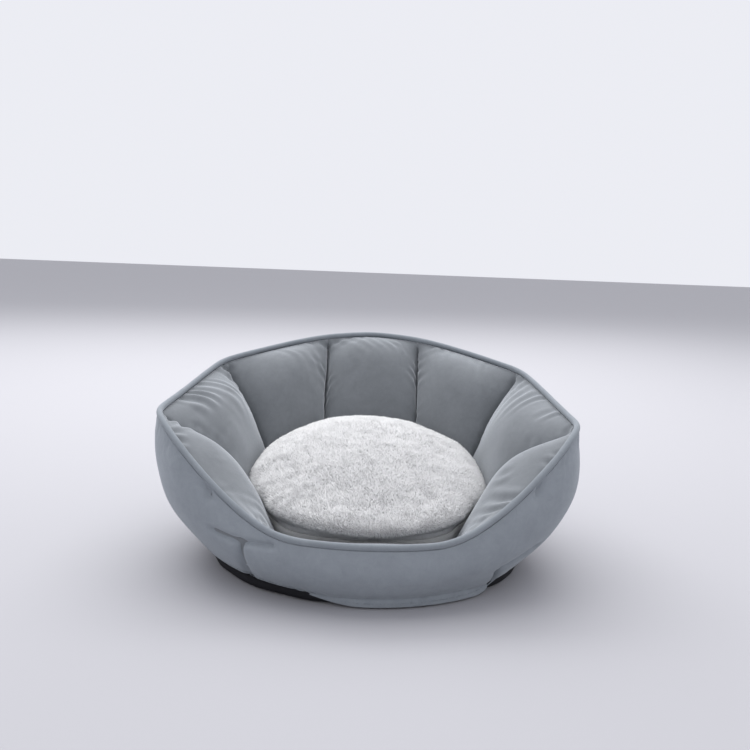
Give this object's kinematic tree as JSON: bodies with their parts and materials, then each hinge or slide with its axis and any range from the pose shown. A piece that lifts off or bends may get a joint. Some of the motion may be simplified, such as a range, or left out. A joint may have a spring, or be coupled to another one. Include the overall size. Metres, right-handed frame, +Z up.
{
  "type": "pet cushion bed",
  "caption": "Low-fronted oval pet bed with stuffed pocket walls, a piped rim, a padded base and a loose domed plush cushion.",
  "frame": {"origin": "middle of the base's underside, on the surface that the bed stands on", "axes": "+Z up; -Y towards the low front; +X to the right of somebody who faces the front"},
  "size_m": [0.5024, 0.4518, 0.2468],
  "materials": {
    "velvet": "short-pile blue-grey velvet",
    "velvet_lining": "short-pile blue-grey velvet, inside of the nest",
    "piping": "short-pile blue-grey velvet on the bias",
    "fibre_fill": "loose white polyester fibre",
    "grip_fabric": "black canvas with moulded grip dots",
    "plush": "white short-pile plush",
    "plain_cloth": "plain white woven cloth",
    "zip_plastic": "matte white",
    "zip_metal": "plated, bright"
  },
  "bodies": {
    "bed": {"lining_front": "velvet_lining", "lining_front_right": "velvet_lining", "lining_right": "velvet_lining", "lining_back_right": "velvet_lining", "lining_back": "velvet_lining", "lining_back_left": "velvet_lining", "lining_left": "velvet_lining", "lining_front_left": "velvet_lining", "fill_front": "fibre_fill", "fill_front_right": "fibre_fill", "fill_right": "fibre_fill", "fill_back_right": "fibre_fill", "fill_back": "fibre_fill", "fill_back_left": "fibre_fill", "fill_left": "fibre_fill", "fill_front_left": "fibre_fill", "outer_cover_front": "velvet", "outer_cover_back": "velvet", "pocket_dividers": "plain_cloth", "piping_cover": "piping", "piping_cord": "fibre_fill", "base_bottom": "grip_fabric", "base_pad": "fibre_fill", "base_lining": "velvet_lining"},
    "cushion": {"cushion_plush": "plush", "cushion_underside": "plain_cloth", "cushion_fill": "fibre_fill", "zip_tapes": "plain_cloth", "zip_teeth": "zip_plastic", "zip_stops": "zip_metal"},
    "slider": {"zip_slider": "zip_metal"},
    "pull": {"zip_pull": "zip_metal"}
  },
  "joints": [
    {"name": "cushion_lift", "type": "slide", "parent": "bed", "child": "cushion", "axis": [0, 0, 1], "range_m": [0, 0.23]},
    {"name": "zip_slide", "type": "slide", "parent": "cushion", "child": "slider", "axis": [1, 0, 0], "range_m": [0, 0.14]},
    {"name": "pull_swing", "type": "hinge", "parent": "slider", "child": "pull", "pos_m": [-0.07, 0.014, 0.0463], "axis": [0, 1, 0], "range_deg": [0, 180]}
  ]
}
